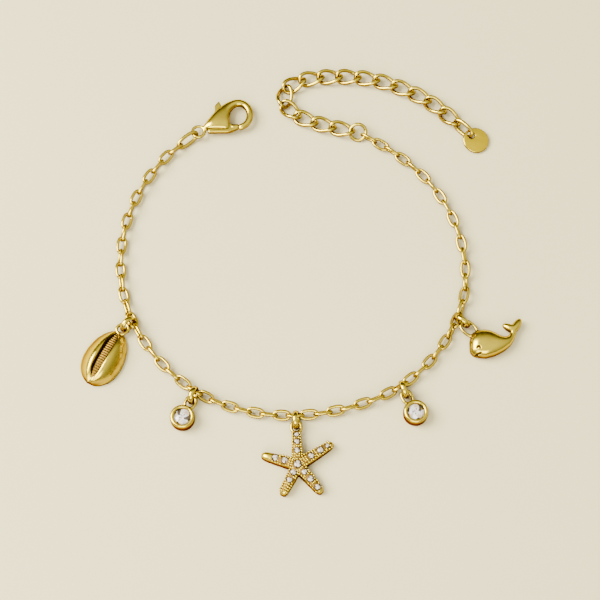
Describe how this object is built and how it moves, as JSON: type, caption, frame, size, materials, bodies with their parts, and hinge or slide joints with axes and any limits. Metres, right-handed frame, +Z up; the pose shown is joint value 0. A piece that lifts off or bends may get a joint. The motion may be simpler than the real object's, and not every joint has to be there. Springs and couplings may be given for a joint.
{
  "type": "charm bracelet",
  "caption": "Gold-coloured charm bracelet lying unclasped: cable chain, shell, stone, starfish and whale charms, lobster clasp and twisted-link extender with a tag.",
  "frame": {"origin": "centre of the bracelet's outer box, on the surface that it lies on", "axes": "+Z up from the surface; +Y from the starfish charm towards the clasp and the extender; +X from the clasp towards the extender's tag"},
  "size_m": [0.073, 0.078, 0.0033],
  "materials": {
    "chain_gold": "polished gold colour",
    "clasp_gold": "mirror-polished gold colour",
    "ring_gold": "polished gold colour",
    "extender_gold": "polished gold colour",
    "charm_gold": "polished gold colour, cast",
    "clear_stone": "clear, faceted"
  },
  "bodies": {
    "bracelet": {"chain_left": "chain_gold", "chain_right": "chain_gold", "clasp_body": "clasp_gold", "clasp_link": "ring_gold", "connecting_ring": "ring_gold", "tag_ring": "ring_gold", "tag": "ring_gold", "jump_ring_cowrie": "ring_gold", "jump_ring_bezel_left": "ring_gold", "jump_ring_starfish": "ring_gold", "jump_ring_bezel_right": "ring_gold", "jump_ring_whale": "ring_gold", "extender_link_01": "extender_gold", "extender_link_02": "extender_gold", "extender_link_03": "extender_gold", "extender_link_04": "extender_gold", "extender_link_05": "extender_gold", "extender_link_06": "extender_gold", "extender_link_07": "extender_gold", "extender_link_08": "extender_gold", "extender_link_09": "extender_gold", "extender_link_10": "extender_gold", "extender_link_11": "extender_gold", "extender_link_12": "extender_gold", "extender_link_13": "extender_gold", "extender_link_14": "extender_gold", "extender_link_15": "extender_gold", "cowrie": "charm_gold", "bezel_left": "charm_gold", "starfish": "charm_gold", "bezel_right": "charm_gold", "whale": "charm_gold", "stone_left": "clear_stone", "stone_right": "clear_stone"},
    "clasp_lever": {"clasp_lever": "clasp_gold"}
  },
  "joints": [
    {"name": "lever", "type": "hinge", "parent": "bracelet", "child": "clasp_lever", "pos_m": [-0.01468, 0.02801, 0.00125], "axis": [0, 0, 1], "range_deg": [0, 20], "stiffness_Nm_per_rad": 0.006, "springref_deg": -11.46}
  ]
}
